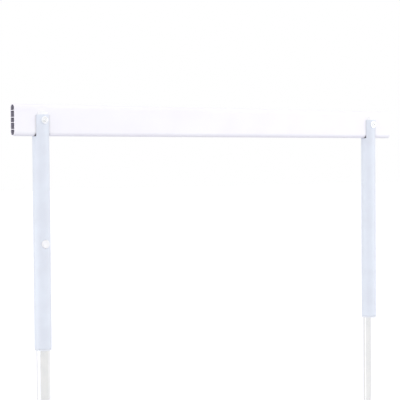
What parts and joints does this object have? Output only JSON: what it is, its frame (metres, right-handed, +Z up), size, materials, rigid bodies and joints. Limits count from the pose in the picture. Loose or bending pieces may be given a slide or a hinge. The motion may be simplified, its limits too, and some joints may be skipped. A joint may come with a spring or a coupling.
{
  "type": "hurdle crossbar",
  "caption": "White chambered plastic hurdle bar bolted into slotted round sleeves, which telescope on bright posts and are held at height by sprung push-button brakes.",
  "frame": {"origin": "on the ground, midway between the lower ends of the two posts, in the plane of the bar's middle", "axes": "+X along the bar to the right as the picture shows it, -Y out of the front face, +Z up"},
  "size_m": [1.18, 0.0589, 0.9144],
  "materials": {
    "bar_plastic": "smooth extruded white plastic, soft gloss",
    "sleeve_paint": "pale lavender-blue powder coat on steel tube",
    "post_zinc": "bright zinc-plated steel tube",
    "white_nylon": "moulded white nylon",
    "washer_nylon": "moulded pale nylon",
    "bright_steel": "bright zinc-plated steel fasteners",
    "spring_steel": "oiled spring wire",
    "brake_rubber": "black brake rubber"
  },
  "bodies": {
    "posts": {"left_post": "post_zinc", "right_post": "post_zinc", "left_post_cap": "white_nylon", "right_post_cap": "white_nylon"},
    "crossbar_frame": {"crossbar": "bar_plastic", "left_sleeve": "sleeve_paint", "right_sleeve": "sleeve_paint", "left_guide_bush": "white_nylon", "right_guide_bush": "white_nylon", "left_front_packer": "white_nylon", "left_rear_packer": "white_nylon", "right_front_packer": "white_nylon", "right_rear_packer": "white_nylon", "left_front_saddle_washer": "washer_nylon", "left_rear_saddle_washer": "washer_nylon", "right_front_saddle_washer": "washer_nylon", "right_rear_saddle_washer": "washer_nylon", "left_bar_bolt": "bright_steel", "right_bar_bolt": "bright_steel", "left_cap_nut": "bright_steel", "right_cap_nut": "bright_steel", "left_spacer": "bright_steel", "right_spacer": "bright_steel", "left_lock_spring": "spring_steel", "right_lock_spring": "spring_steel", "left_lock_glide": "white_nylon", "right_lock_glide": "white_nylon"},
    "left_lock": {"left_lock_button": "white_nylon", "left_lock_shoe": "brake_rubber"},
    "right_lock": {"right_lock_button": "white_nylon", "right_lock_shoe": "brake_rubber"}
  },
  "joints": [
    {"name": "height_slide", "type": "slide", "parent": "posts", "child": "crossbar_frame", "axis": [0, 0, 1], "range_m": [-0.1524, 0.0762]},
    {"name": "left_button_press", "type": "slide", "parent": "crossbar_frame", "child": "left_lock", "axis": [0, 1, 0], "range_m": [0, 0.002], "stiffness_N_per_m": 2200, "springref_m": -0.01, "deforming": ["left_lock_spring"]},
    {"name": "right_button_press", "type": "slide", "parent": "crossbar_frame", "child": "right_lock", "axis": [0, -1, 0], "range_m": [0, 0.002], "stiffness_N_per_m": 2200, "springref_m": -0.01, "deforming": ["right_lock_spring"]}
  ]
}
